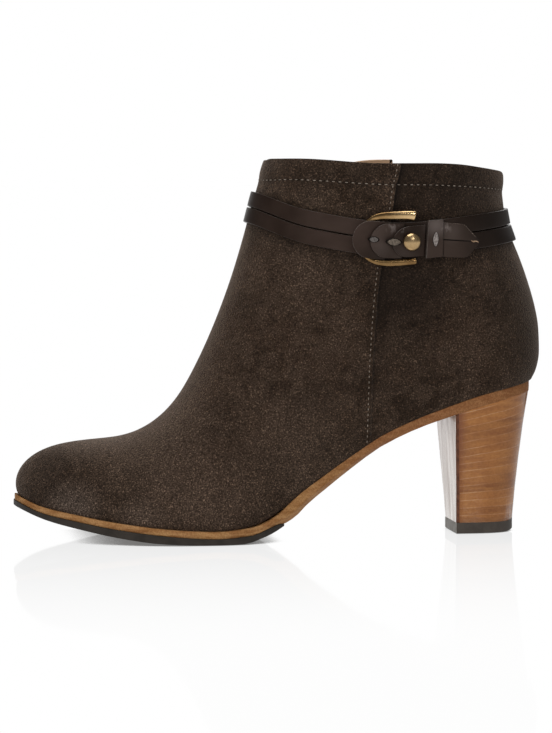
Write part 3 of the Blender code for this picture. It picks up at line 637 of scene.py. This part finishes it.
def curve_at(rows, key):
    """Value at a key on a smooth curve through a short table of pairs in millimetres."""
    keys = [row[0] for row in rows]
    values = [row[1] for row in rows]
    last = len(rows) - 1
    slopes = []
    for i in range(len(rows)):
        before = max(i - 1, 0)
        after = min(i + 1, last)
        slopes.append((values[after] - values[before]) / (keys[after] - keys[before]))
    if key <= keys[0]:
        return values[0] + slopes[0] * (key - keys[0])
    if key >= keys[last]:
        return values[last] + slopes[last] * (key - keys[last])
    i = max(k for k in range(last) if keys[k] <= key)
    width = keys[i + 1] - keys[i]
    s = (key - keys[i]) / width
    start = slopes[i] * width * s * (1.0 - s) ** 2
    end = -slopes[i + 1] * width * s * s * (1.0 - s)
    return values[i] + (values[i + 1] - values[i]) * s * s * (3.0 - 2.0 * s) + start + end


def ramp(value, low, high):
    """Share of the way from low to high, held between 0 and 1."""
    return min(max((value - low) / (high - low), 0.0), 1.0)


def fading(painted_shade, distance, power=1):
    """Depth that is left of a painted shade at a distance in millimetres."""
    depth, reach = painted_shade
    return depth * exp(-(distance / reach) ** power)


def seam_row_x(z, inner):
    """Place of a seam's stitch row at a height."""
    lean = SEAM_LEAN * (z / MM - SEAM_ROW[0][0]) / (SEAM_ROW[-1][0] - SEAM_ROW[0][0])
    return curve_at(SEAM_ROW, z / MM) * MM + (lean if inner else 0.0)


def behind_edge(point):
    """Distance of a point behind the panel's cut edge on its side of the boot."""
    return point.x - seam_row_x(point.z, point.y > 0.0) - SEAM_STITCH


def pick_inner_wall(piece):
    """Go into edit mode with the whole inside of the upper selected."""
    inner = [face for face in piece.data.polygons if face.normal.y > 0.5]
    nearest = min(inner, key=lambda face: (face.center - LINING_SPOT).length)
    target = nearest.center.copy()
    pick_faces(piece, lambda centre, normal: (centre - target).length < MERGE)
    bpy.ops.mesh.faces_select_linked_flat(sharpness=radians(60))


def cut_seams(upper):
    """Cut the wall along both seams: the curved lines stand straight while the planes cut them."""
    behind = [behind_edge(point.co) for point in upper.data.vertices]
    for point, distance in zip(upper.data.vertices, behind):
        point.co.x = distance
    for cut in SEAM_CUTS:
        edit_all(upper)
        bpy.ops.mesh.bisect(plane_co=(cut, 0.0, 0.0), plane_no=(1.0, 0.0, 0.0))
        done()
    for point in upper.data.vertices:
        point.co.x += seam_row_x(point.co.z, point.co.y > 0.0) + SEAM_STITCH


def raise_front_panel(upper):
    """Lift the front panel off the rear one, from its cut edge forward."""
    outside = {i for face in upper.data.polygons if face.material_index == 0 for i in face.vertices}
    normals = [point.normal.copy() for point in upper.data.vertices]
    for i in outside:
        point = upper.data.vertices[i]
        behind = behind_edge(point.co)
        if -SEAM_FADE < behind < SEAM_SLOPE / 2.0:
            out = Vector((normals[i].x, normals[i].y, 0.0))
            point.co += out * SEAM_STEP * (0.5 + 0.5 * cos(pi * behind / SEAM_FADE))


def bend_inner_collar(upper):
    """Sink the inner side of the collar, and let its front panel stand up beside the seam."""
    for point in upper.data.vertices:
        lift = ramp(point.co.z, *INNER_BEND)
        if point.co.y > 0.0 and lift > 0.0:
            behind = behind_edge(point.co)
            rise = INNER_RISE * exp(-(behind / INNER_REACH) ** 4) if behind < SEAM_SLOPE / 2.0 else 0.0
            point.co.z += (rise - INNER_SINK) * lift * ramp(point.co.y, 0.0, INNER_SIDE)


def face_inner_collar(upper):
    """Let the lining show up to the rim in front of the inner seam, and give the faces inside along the seam
    the suede, as if folded in.
    """
    for face in upper.data.polygons:
        behind = behind_edge(face.center)
        if face.center.z > INNER_BEND[0] and face.center.y > 0.0 and -INNER_LINING < behind < 0.0:
            if behind > SEAM_CUTS[0] and face.center.z > FOLD_FOOT:
                face.material_index = 0
            elif face.normal.y < 0.5:
                face.material_index = 1


def shade_upper(upper, rim):
    """Store painted shade in the nap's colour: behind seams, in the stitch groove, under the straps and over
    the sole.
    """
    straps = tree_of([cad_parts["ankle_strap_upper"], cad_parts["ankle_strap_lower"]])
    foot = KDTree(len(rim))
    for i, spot in enumerate(rim):
        foot.insert(spot, i)
    foot.balance()
    layer = upper.data.attributes.new("painted_shade", "FLOAT", "POINT")
    for point, mark in zip(upper.data.vertices, layer.data):
        behind = behind_edge(point.co) / MM
        groove = point.co.z / MM - curve_at(COLLAR_ROW, point.co.x / MM)
        if behind > SHADE_START:
            high = fading(HIGH_EDGE_SHADE, behind) + fading(PANEL_SHADE, behind)
            panel = fading(EDGE_SHADE, behind) + high * ramp(point.co.z / MM, *SHADE_HEIGHTS)
        else:
            panel = BAND_SHADE[0] * ramp(groove, 0.0, BAND_SHADE[1])
        strap, _, _, off = straps.find_nearest(point.co)
        beside = fading(STRAP_SHADE if point.co.z < strap.z else STRAP_BRIM_SHADE, off / MM)
        away = foot.find(point.co)[2] / MM
        mark.value = max(panel, beside, fading(SOLE_SHADE, away, 2), fading(GROOVE_SHADE, groove, 2))


def make_upper(suede, lining):
    """Suede wall with its lining, its panel steps and the bent inner side of the collar."""
    upper = copy_of("upper", "suede_upper")
    paint(upper, suede, lining)
    pick_inner_wall(upper)
    upper.active_material_index = 1
    bpy.ops.object.material_slot_assign()
    done()
    pick_faces(upper, lambda centre, normal: normal.z < LOOKS_DOWN)
    bpy.ops.transform.translate(value=(0.0, 0.0, -UPPER_DROP))
    done()
    rim = [face.center.copy() for face in upper.data.polygons if face.normal.z < LOOKS_DOWN]
    round_edges(upper, 50.0, 0.45 * MM)
    subdivide(upper)
    cut_seams(upper)
    raise_front_panel(upper)
    bend_inner_collar(upper)
    face_inner_collar(upper)
    shade_upper(upper, rim)
    smooth(upper, 40.0)
    dress(upper, "suede", "upper")
    return upper


def new_bead(name, segments, rings, size):
    """Drawn-out ball of thread that lies along X."""
    bpy.ops.object.select_all(action="DESELECT")
    bpy.ops.mesh.primitive_uv_sphere_add(segments=segments, ring_count=rings, radius=0.5)
    bead = bpy.context.object
    bead.name = name
    edit_all(bead)
    bpy.ops.transform.rotate(value=pi / 2.0, orient_axis="Y", center_override=(0.0, 0.0, 0.0))
    bpy.ops.transform.resize(value=size)
    done()
    return bead


def stitch_row(name, points, thread, sizes, start=0.0):
    """One row of thread: a stitch, repeated by an array and laid along a path."""
    pitch, stitch_length, stitch_width = sizes
    path = bpy.data.curves.new(name + "_path", "CURVE")
    path.dimensions = "3D"
    line = path.splines.new("POLY")
    line.points.add(len(points) - 1)
    for knot, point in zip(line.points, points):
        knot.co = (*point, 1.0)
    guide = bpy.data.objects.new(name + "_path", path)
    bpy.context.scene.collection.objects.link(guide)
    row = new_bead(name, 8, 6, (stitch_length, stitch_width, stitch_width))
    row.data.transform(Matrix.Translation((start, 0.0, 0.0)))
    length = sum((b - a).length for a, b in zip(points, points[1:])) - start
    apply_modifier(
        row, "ARRAY", fit_type="FIXED_COUNT", count=int(length / pitch) + 1,
        use_relative_offset=False, use_constant_offset=True, constant_offset_displace=(pitch, 0.0, 0.0),
    )
    apply_modifier(row, "CURVE", object=guide, deform_axis="POS_X")
    bpy.data.objects.remove(guide)
    paint(row, thread)
    smooth(row, 80.0)
    dress(row, "suede")


def collar_points(surface, off):
    """Points of the stitch line all round the collar, off the nap by a distance."""
    points = []
    steps = 240
    for i in range(steps + 1):
        turn = 2.0 * pi * i / steps
        out = Vector((-cos(turn), -sin(turn), 0.0))
        middle = Vector((COLLAR_CENTRE, 0.0, 0.0))
        x = COLLAR_CENTRE
        for _ in range(3):  # the row's height follows the place that the ray hits
            middle.z = curve_at(COLLAR_ROW, x / MM) * MM
            hit, normal, _, _ = surface.ray_cast(middle + out * OUTSIDE, -out)
            x = hit.x
        points.append(hit + normal * off)
    return points


def seam_points(surface, inner):
    """Points of the stitch row beside the panel's edge, from the collar to the sole."""
    points = []
    steps = 90
    top, foot = SEAM_ENDS
    side = 1.0 if inner else -1.0
    for i in range(steps + 1):
        z = (top - (top - foot) * i / steps) * MM
        start = Vector((seam_row_x(z, inner), side * OUTSIDE, z))
        hit, normal, _, _ = surface.ray_cast(start, Vector((0.0, -side, 0.0)))
        if hit is not None:
            points.append(hit + normal * THREAD_LIFT)
    return points


# Straps and buckle

def make_strap(node, finish, edge):
    """Strap round the ankle, with its cut edges above and below."""
    strap = copy_of(node, node + "_leather")
    paint(strap, finish, edge)
    paint_faces(strap, 1, lambda centre, normal: abs(normal.z) > 0.75)
    round_edges(strap, 40.0, 0.3 * MM)
    subdivide(strap)
    smooth(strap, 50.0)
    dress(strap, "strap_leather", node)


def make_plate(node, finish, edge, width):
    """Leather plate of the buckle strap, with rounded edges that show the cut above and in front."""
    plate = copy_of(node, node + "_leather")
    paint(plate, finish, edge)
    round_edges(plate, 30.0, width)
    subdivide(plate)
    paint_faces(plate, 1, lambda centre, normal: normal.z > 0.3 or normal.x < -0.3)
    smooth(plate, 50.0)
    dress(plate, "strap_leather", node)
    return plate


def make_tip(finish, edge, hole):
    """Pointed strap end with a slit along its middle."""
    tip = copy_of("strap_tip", "strap_tip_leather")
    paint(tip, finish, edge, hole)
    round_edges(tip, 30.0, 0.3 * MM)
    start, across = cut_tip(tip)
    subdivide(tip)

    def above(centre):
        return (centre - start).dot(across)

    paint_faces(tip, 1, lambda centre, normal: above(centre) > TIP_EDGE and normal.z > 0.12)
    # painted shade in the slit
    paint_faces(tip, 2, lambda centre, normal: abs(above(centre)) < TIP_SLIT_DARK and normal.y < 0.3)
    smooth(tip, 50.0)
    dress(tip, "strap_leather", "strap_tip")
    return tip


def tip_line(tip):
    """Middle of the strap tip's blunt end, and its point."""
    spots = [point.co for point in tip.data.vertices]
    blunt = min(spot.x for spot in spots)
    end = [spot for spot in spots if spot.x < blunt + 0.5 * MM]
    return sum(end, Vector()) / len(end), max(spots, key=lambda spot: spot.x).copy()


def cut_tip(tip):
    """Press a slit along the strap tip's middle line, and tell where it runs."""
    start, point = tip_line(tip)
    across = (point - start).cross(Vector((0.0, 1.0, 0.0))).normalized()
    for offset in (-TIP_SLIT, 0.0, TIP_SLIT):
        edit_all(tip)
        bpy.ops.mesh.bisect(plane_co=start + across * offset, plane_no=across)
        done()

    def on_line(point):
        return abs((point.co - start).dot(across)) < 2.0 * MERGE and point.normal.y < -0.4

    pick(tip, "VERT", "vertices", on_line)
    bpy.ops.transform.translate(value=(0.0, TIP_SLIT_DEPTH, 0.0))
    done()
    return start, across


def lay_on(piece, spot, along, surface, sink):
    """Move a modelled piece from the origin onto the surface, its X along a direction."""
    hit, normal, _, _ = surface.ray_cast(Vector((spot.x, -OUTSIDE, spot.z)), -OUTER_SIDE)
    across = normal.cross(along).normalized()
    stand = Matrix((across.cross(normal), across, normal)).transposed().to_4x4()
    stand.translation = hit - normal * sink
    piece.data.transform(stand)


def make_slit(name, sizes, surface, finishes):
    """Pointed slit with a rim painted dark as shade, and the flesh side of the next layer standing in it."""
    x, z, length, breadth, tilt, fill = sizes
    bpy.ops.object.select_all(action="DESELECT")
    bpy.ops.mesh.primitive_circle_add(vertices=24, radius=1.0, fill_type="NGON")
    slit = bpy.context.object
    slit.name = name
    paint(slit, *finishes)
    for point in slit.data.vertices:
        point.co.y *= 1.0 - SLIT_TAPER * point.co.x ** 2
    edit(slit)
    bpy.ops.mesh.select_mode(type="FACE")
    bpy.ops.mesh.select_all(action="SELECT")
    slit.active_material_index = 1
    bpy.ops.object.material_slot_assign()
    bpy.ops.transform.resize(value=(length * MM / 2.0, breadth * MM / 2.0, 1.0))
    bpy.ops.mesh.extrude_region_move(TRANSFORM_OT_translate={"value": (0.0, 0.0, SLIT_RIM)})
    bpy.ops.mesh.extrude_region_move(TRANSFORM_OT_translate={"value": (0.0, 0.0, -SLIT_LIP)})
    bpy.ops.transform.resize(value=(fill, SLIT_FILL, 1.0))
    for shrink, lift in SLIT_CROWN:
        bpy.ops.mesh.extrude_region_move(TRANSFORM_OT_translate={"value": (0.0, 0.0, lift)})
        bpy.ops.transform.resize(value=(shrink, shrink, 1.0))
    bpy.ops.mesh.select_all(action="SELECT")
    bpy.ops.mesh.normals_make_consistent(inside=False)
    done()
    paint_faces(slit, 0, lambda centre, normal: centre.z > SLIT_FLESH)
    turn = radians(tilt)
    lay_on(slit, Vector((x, 0.0, z)) * MM, Vector((cos(turn), 0.0, sin(turn))), surface, SLIT_SINK)
    smooth(slit, 40.0)
    dress(slit, "strap_leather")


def make_tip_thread(tip, surface, thread):
    """Loose thread end that lies in the slit at the point of the strap."""
    start, point = tip_line(tip)
    strand = new_bead("tip_thread", 10, 12, TIP_THREAD)
    for vertex in strand.data.vertices:
        vertex.co.y += TIP_THREAD_WAVE * sin(vertex.co.x / MM * 2.2)
    lay_on(strand, point.lerp(start, TIP_THREAD_PLACE), point - start, surface, -TIP_THREAD_LIFT)
    paint(strand, thread)
    smooth(strand, 80.0)
    dress(strand, "strap_leather")


def even_dome(stud):
    """Draw the stud's top into an even dome."""
    spots = [point.co.copy() for point in stud.data.vertices]
    centre = sum(spots, Vector()) / len(spots)
    axis = (min(spots, key=lambda spot: spot.y) - centre).normalized()
    heights = [(spot - centre).dot(axis) for spot in spots]
    foot = min(heights)
    tall = max(heights) - foot
    reach = max((spot - centre - axis * height).length for spot, height in zip(spots, heights))
    for point, height in zip(stud.data.vertices, heights):
        share = (point.co - centre - axis * height).length / reach
        if height > foot + DOME_START * tall:
            dome = DOME_FOOT + (1.0 - DOME_FOOT) * sqrt(max(1.0 - share * share, 0.0))
            point.co += axis * (foot + tall * dome - height)


def make_metal(node, finish):
    """Rounded piece of brass."""
    metal = copy_of(node, node + "_brass")
    paint(metal, finish)
    edit_all(metal)
    bpy.ops.transform.shrink_fatten(value=METAL_SPARE)
    done()
    round_edges(metal, 60.0, 0.35 * MM)
    subdivide(metal)
    if node == "stud":
        even_dome(metal)
    smooth(metal, 60.0)
    dress(metal, "brass", node)


# Soles and heel

def close_gap(piece, rise):
    """Let the faces that look up meet the neighbouring piece."""
    pick_faces(piece, lambda centre, normal: normal.z > 0.6)
    bpy.ops.transform.translate(value=(0.0, 0.0, rise))
    done()


def make_sole(node, name, slot, rounding, *finishes):
    """Sole or lift with rounded edges; a second finish is for its front."""
    sole = copy_of(node, name)
    paint(sole, *finishes)
    if len(finishes) > 1:
        paint_faces(sole, 1, lambda centre, normal: normal.x < LOOKS_AHEAD)
    close_gap(sole, SOLE_RISE)
    round_edges(sole, 40.0, rounding)
    smooth(sole, 35.0)
    apply_modifier(sole, "WEIGHTED_NORMAL", keep_sharp=True)
    dress(sole, slot, node)


def make_sock(finish):
    """Leather sock: the insole board, drawn out until it covers the sole's rim."""
    sock = copy_of("insole", "leather_sock")
    paint(sock, finish)
    toe = min(point.co.x for point in sock.data.vertices)
    back = max(point.co.x for point in sock.data.vertices)
    for point in sock.data.vertices:
        if toe + MM < point.co.x < back - MM:
            point.co.y += SOCK_REACH if point.normal.y > 0.0 else -SOCK_REACH
        else:
            point.co.x += SOCK_REACH if point.co.x > 0.0 else -SOCK_REACH
    round_edges(sock, 40.0, 0.3 * MM)
    smooth(sock, 35.0)
    dress(sock, "insole_leather", "insole")


def heel_lines():
    """Height of the heel's foot, and the rise and slope of its top along X."""
    near = 4.0 * MM
    points = [point.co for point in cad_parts["heel_block"].data.vertices]
    foot = min(point.z for point in points)
    breast_x = min(point.x for point in points)
    back_x = max(point.x for point in points)
    top_front = max(point.z for point in points if point.x < breast_x + near)
    top_back = max(point.z for point in points if point.x > back_x - near)
    slope = (top_back - top_front) / (back_x - breast_x)
    return foot, top_front - slope * breast_x, slope


def make_heel(stack, breast, corner):
    """Stacked heel with a lacquered front between dark corners."""
    heel = copy_of("heel_block", "stacked_heel")
    paint(heel, stack, breast, corner)
    paint_faces(heel, 1, lambda centre, normal: normal.x < LOOKS_AHEAD)
    close_gap(heel, HEEL_RISE)
    front = {i for face in heel.data.polygons if face.material_index == 1 for i in face.vertices}

    def is_corner(edge):
        low, high = (heel.data.vertices[i].co for i in edge.vertices)
        return front.issuperset(edge.vertices) and abs(high.z - low.z) > HEEL_UPRIGHT

    pick(heel, "EDGE", "edges", is_corner)
    bpy.ops.mesh.bevel(offset=HEEL_CORNER, segments=2, affect="EDGES", clamp_overlap=True, material=2)
    done()
    smooth(heel, 40.0)
    apply_modifier(heel, "WEIGHTED_NORMAL", keep_sharp=True)
    dress(heel, "heel_leather", "heel_block")


# The studio

def make_floor():
    """White lit table with a faint mirror, and painted shadow where the boot keeps the light off."""
    bpy.ops.object.select_all(action="DESELECT")
    bpy.ops.mesh.primitive_plane_add(size=FLOOR_SIZE, location=FLOOR_PLACE)
    floor = bpy.context.object
    floor.name = "studio_floor"
    alone(floor)
    bpy.ops.object.transform_apply(location=True, rotation=True, scale=True)
    white = bpy.data.materials.new("studio_white")
    white.use_nodes = True
    white.node_tree.nodes.remove(white.node_tree.nodes["Principled BSDF"])
    covered = add(white, "AmbientOcclusion", {"Distance": FLOOR_SHADOW}, samples=8).outputs["AO"]
    lit = between(white, covered, 0.14, 0.60)
    glow = add(white, "Emission", {"Color": blend(white, lit, (0.22, 0.215, 0.21), (1.0, 1.0, 1.0))})
    mirror = add(white, "BsdfGlossy", {"Color": (1.0, 1.0, 1.0, 1.0), "Roughness": 0.05})
    far, close = FLOOR_MIRROR
    inputs = {"Value": axes_of(white)[1], "From Min": far, "From Max": close}
    near = add(white, "MapRange", inputs).outputs[0]
    share = compute(white, "ADD", share_of(white, compute(white, "POWER", near, 1.9), 0.18), 0.015)
    both = add(white, "MixShader", {0: share, 1: glow.outputs[0], 2: mirror.outputs[0]})
    surface = white.node_tree.nodes["Material Output"].inputs["Surface"]
    white.node_tree.links.new(both.outputs[0], surface)
    floor.data.materials.append(white)


def make_air():
    """Air that is white to the camera and behind the boot, and dim elsewhere."""
    world = bpy.data.worlds.new("studio_air")
    world.use_nodes = True
    bpy.context.scene.world = world
    toward = add(world, "TexCoord").outputs["Generated"]
    back = between(world, add(world, "SeparateXYZ", {0: toward}).outputs[1], *AIR_BACK)
    tone = blend(world, back, (AIR, AIR, AIR), (1.0, 1.0, 1.0))
    seen = add(world, "LightPath").outputs["Is Camera Ray"]
    white = blend(world, seen, tone, (1.0, 1.0, 1.0))
    world.node_tree.links.new(white, world.node_tree.nodes["Background"].inputs["Color"])


def make_lights():
    """Softboxes round the boot."""
    for name, spot, size, power, matt, glossy in SOFTBOXES:
        light = bpy.data.lights.new(name, "AREA")
        light.shape = "DISK"
        light.size = size
        light.energy = power
        lamp = bpy.data.objects.new(name, light)
        lamp.location = spot
        lamp.visible_diffuse = matt
        lamp.visible_glossy = glossy
        aim = LIGHTS_AIM - Vector(spot)
        lamp.rotation_euler = aim.to_track_quat("-Z", "Y").to_euler()
        bpy.context.scene.collection.objects.link(lamp)


def make_camera():
    """Camera at the photograph's viewing angle."""
    view = bpy.data.cameras.new("photo_camera")
    view.lens = CAMERA_LENS
    view.sensor_width = CAMERA_SENSOR
    camera = bpy.data.objects.new("photo_camera", view)
    camera.location = CAMERA_PLACE
    camera.rotation_euler = CAMERA_TURN
    bpy.context.scene.collection.objects.link(camera)
    bpy.context.scene.camera = camera
    bpy.context.scene.view_settings.view_transform = "Standard"


# The whole boot

def make_stitching(upper, thread, hole):
    """Rows of thread round the collar and down both seams, with needle holes painted dark as shade between the
    collar's.
    """
    surface = tree_of([upper])
    dim = thread_finish("seam_thread", (0.13, 0.102, 0.078), (0.29, 0.235, 0.185))
    half_pitch = STITCH_HOLE[0] / 2.0
    stitch_row("collar_stitches", collar_points(surface, THREAD_LIFT), thread, COLLAR_THREAD)
    stitch_row("collar_needle_holes", collar_points(surface, -HOLE_DEPTH), hole, STITCH_HOLE, half_pitch)
    stitch_row("outer_seam_stitches", seam_points(surface, False), dim, SEAM_THREAD)
    stitch_row("inner_seam_stitches", seam_points(surface, True), dim, SEAM_THREAD)


def make_straps(hole):
    """Straps, links, keeper and tip with their slits, and the brass of the buckle."""
    leather = strap_finish("strap_leather", (0.0125, 0.0070, 0.0050), (0.0225, 0.0136, 0.0102))
    # paler copy of the strap leather: painted light on link 2, the keeper and the tip
    lit_leather = strap_finish("lit_strap_leather", (0.0205, 0.0128, 0.0098), (0.0365, 0.0242, 0.0193))
    edge = cut_edge_finish("strap_edge", (0.028, 0.020, 0.016), (0.075, 0.058, 0.048), 0.28)
    pale_edge = cut_edge_finish("pale_edge", (0.100, 0.075, 0.058), (0.27, 0.21, 0.165))
    pale_link_edge = cut_edge_finish("pale_link_edge", (0.065, 0.050, 0.041), (0.16, 0.130, 0.110))
    grey = flesh_finish("grey_flesh", (0.050, 0.043, 0.039), (0.125, 0.108, 0.098))
    tan = flesh_finish("tan_flesh", (0.065, 0.050, 0.037), (0.165, 0.130, 0.098))
    pale = flesh_finish("pale_flesh", (0.12, 0.10, 0.09), (0.30, 0.265, 0.245))
    make_strap("ankle_strap_upper", leather, edge)
    make_strap("ankle_strap_lower", leather, edge)
    plates = [
        make_plate("link_1", leather, pale_link_edge, 0.4 * MM),
        make_plate("link_2", lit_leather, edge, 0.3 * MM),
        make_plate("link_3", leather, edge, 0.3 * MM),
        make_plate("keeper_loop", lit_leather, edge, 0.5 * MM),
    ]
    tip = make_tip(lit_leather, pale_edge, hole)
    surface = tree_of(plates + [tip])
    for (name, sizes), flesh in zip(SLITS.items(), (grey, tan, pale)):
        make_slit(name, sizes, surface, (flesh, hole))
    make_tip_thread(tip, surface, thread_finish("tip_thread", (0.20, 0.115, 0.060), (0.42, 0.28, 0.17)))
    antique = brass_finish("antique_brass", (0.19, 0.108, 0.042), (0.36, 0.222, 0.094), 0.24)
    make_metal("buckle_frame", antique)
    make_metal("stud", brass_finish("stud_brass", (0.36, 0.240, 0.118), (0.43, 0.295, 0.152), 0.27))


def make_soles():
    """Soles, sock, heel and lift."""
    rubber = rubber_finish("rubber", 0.5, (0.020, 0.0160, 0.0128), (0.034, 0.0276, 0.0226))
    make_sole("leather_sole", "tan_sole", "sole_leather", 0.35 * MM, sole_finish())
    make_sole("forefoot_outsole", "rubber_half_sole", "black_rubber", 0.5 * MM, rubber)
    make_sock(insole_finish())
    lift = rubber_finish("lift_rubber", 0.5, (0.048, 0.0395, 0.0328), (0.070, 0.0580, 0.0484))
    # front of the lift: glossier, and paler with a painted reflection of the floor
    front = rubber_finish("lift_front", 0.35, (0.074, 0.062, 0.046), (0.103, 0.088, 0.066))
    make_sole("heel_top_lift", "rubber_lift", "black_rubber", 0.5 * MM, lift, front)
    make_heel(heel_finish(*heel_lines()), breast_finish(), heel_corner_finish())


def main():
    thread = thread_finish("thread", (0.13, 0.104, 0.080), (0.28, 0.232, 0.185))
    hole = hole_finish()
    upper = make_upper(suede_finish(), lining_finish())
    make_stitching(upper, thread, hole)
    make_straps(hole)
    make_soles()
    make_floor()
    make_air()
    make_lights()
    make_camera()


main()
